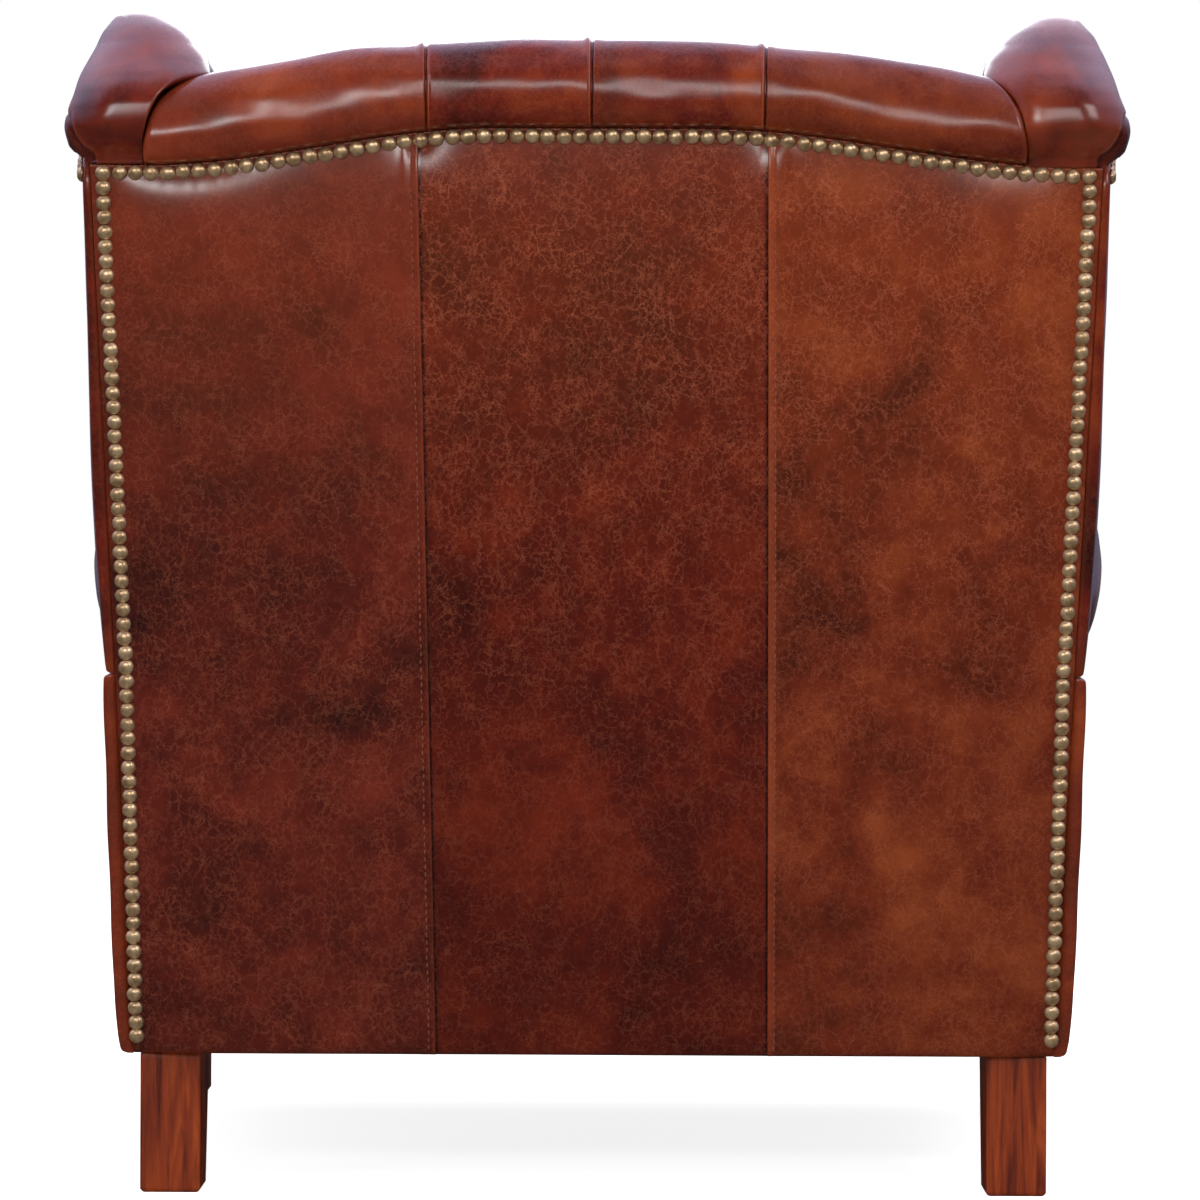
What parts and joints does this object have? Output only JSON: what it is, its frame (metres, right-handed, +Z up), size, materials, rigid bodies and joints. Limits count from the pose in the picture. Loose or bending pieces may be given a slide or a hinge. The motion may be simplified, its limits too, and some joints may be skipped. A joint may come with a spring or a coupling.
{
  "type": "wingback armchair",
  "caption": "Wingback armchair in brown leather with rolled arms, a tufted inside back, a nailed flat outside back, square wood legs and a loose seat cushion.",
  "frame": {"origin": "on the floor, under the middle of the chair's box", "axes": "+Z up, the chair faces -Y, +X to the sitter's left"},
  "size_m": [0.8726, 0.8496, 0.895],
  "materials": {
    "hide_pad": "antiqued pull-up leather over padding, satin",
    "hide_back": "antiqued pull-up leather stretched flat, satin",
    "hide_seat": "antiqued pull-up leather on the cushion, satin",
    "beech": "planed, unfinished",
    "birch_ply": "sawn plywood, unfinished",
    "stained_wood": "stained brown, satin lacquer",
    "antique_brass": "antiqued, satin",
    "jute": "woven jute webbing",
    "felt": "felt and calico",
    "black_cloth": "thin woven dust cloth",
    "foam": "upholstery foam, open-celled",
    "grey_board": "fibreboard"
  },
  "bodies": {
    "chair": {"rear_post_left": "beech", "rear_post_right": "beech", "front_post_left": "beech", "front_post_right": "beech", "seat_rail_side_left": "beech", "seat_rail_side_right": "beech", "arm_rail_left": "beech", "arm_rail_right": "beech", "corner_block_rear_left": "beech", "corner_block_rear_right": "beech", "corner_block_front_left": "beech", "corner_block_front_right": "beech", "seat_rail_rear": "beech", "seat_rail_front": "beech", "lumbar_rail": "beech", "crest_rail": "beech", "wing_frame_left": "birch_ply", "wing_frame_right": "birch_ply", "rear_leg_left": "stained_wood", "rear_leg_right": "stained_wood", "front_leg_left": "stained_wood", "front_leg_right": "stained_wood", "seat_webbing": "jute", "back_webbing": "jute", "seat_deck": "felt", "dust_cover": "black_cloth", "backing_board": "grey_board", "outside_back_left": "hide_back", "outside_back_middle": "hide_back", "outside_back_right": "hide_back", "crest_roll": "hide_pad", "inside_back": "hide_pad", "wing_pad_left": "hide_pad", "wing_pad_right": "hide_pad", "outside_wing_left": "hide_pad", "outside_wing_right": "hide_pad", "outside_arm_left": "hide_pad", "outside_arm_right": "hide_pad", "arm_pad_left": "hide_pad", "arm_pad_right": "hide_pad", "arm_front_left": "hide_pad", "arm_front_right": "hide_pad", "front_border": "hide_pad", "back_button_01": "hide_pad", "back_button_02": "hide_pad", "back_button_03": "hide_pad", "back_button_04": "hide_pad", "back_button_05": "hide_pad", "back_button_06": "hide_pad", "back_button_07": "hide_pad", "back_button_08": "hide_pad", "back_button_09": "hide_pad", "back_button_10": "hide_pad", "nail_row_top": "antique_brass", "nail_row_left": "antique_brass", "nail_row_right": "antique_brass", "nail_row_wing_left": "antique_brass", "nail_row_wing_right": "antique_brass"},
    "cushion": {"seat_cushion_cover": "hide_seat", "seat_cushion_core": "foam"}
  },
  "joints": [
    {"name": "seat_cushion_lift", "type": "slide", "parent": "chair", "child": "cushion", "axis": [0, 0, 1], "range_m": [0, 0.25]}
  ]
}
